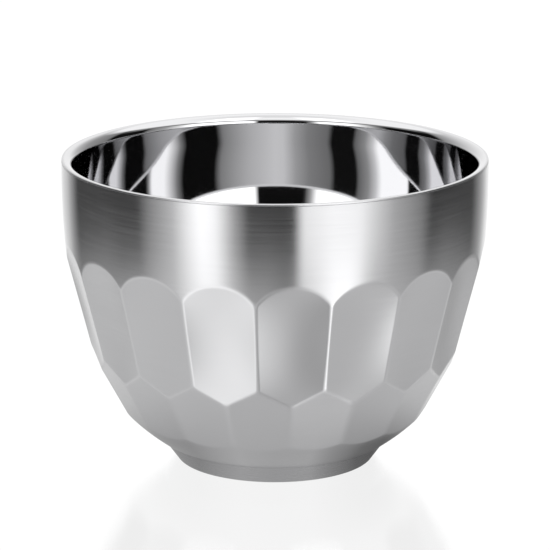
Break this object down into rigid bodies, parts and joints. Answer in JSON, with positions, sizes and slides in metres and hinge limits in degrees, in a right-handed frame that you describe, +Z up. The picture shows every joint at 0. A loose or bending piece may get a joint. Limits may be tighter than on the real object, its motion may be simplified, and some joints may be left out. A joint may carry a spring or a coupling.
{
  "type": "shaving bowl",
  "caption": "Round double-wall metal bowl for whipping up shaving lather, with a mirror-smooth inside, two rows of pressed facets outside and a tapered foot ring.",
  "frame": {"origin": "centre of the foot's standing face, on the bowl's axis", "axes": "+Z up along the bowl's axis of rotation; +X passes through the middle of a facet of the upper row"},
  "size_m": [0.11, 0.11, 0.08],
  "materials": {
    "satin_steel": "brushed round the axis, satin",
    "polished_steel": "mirror polished",
    "foot_steel": "fine turned satin",
    "base_steel": "pressed sheet, dull satin",
    "weld": "fused seam, slightly darker",
    "plug": "dull"
  },
  "bodies": {
    "root": {"outer_shell": "satin_steel", "inner_bowl": "polished_steel", "rim_weld": "weld", "foot_ring": "foot_steel", "foot_weld": "weld", "base_plate": "base_steel", "base_weld": "weld", "vent_plug": "plug"}
  },
  "joints": []
}
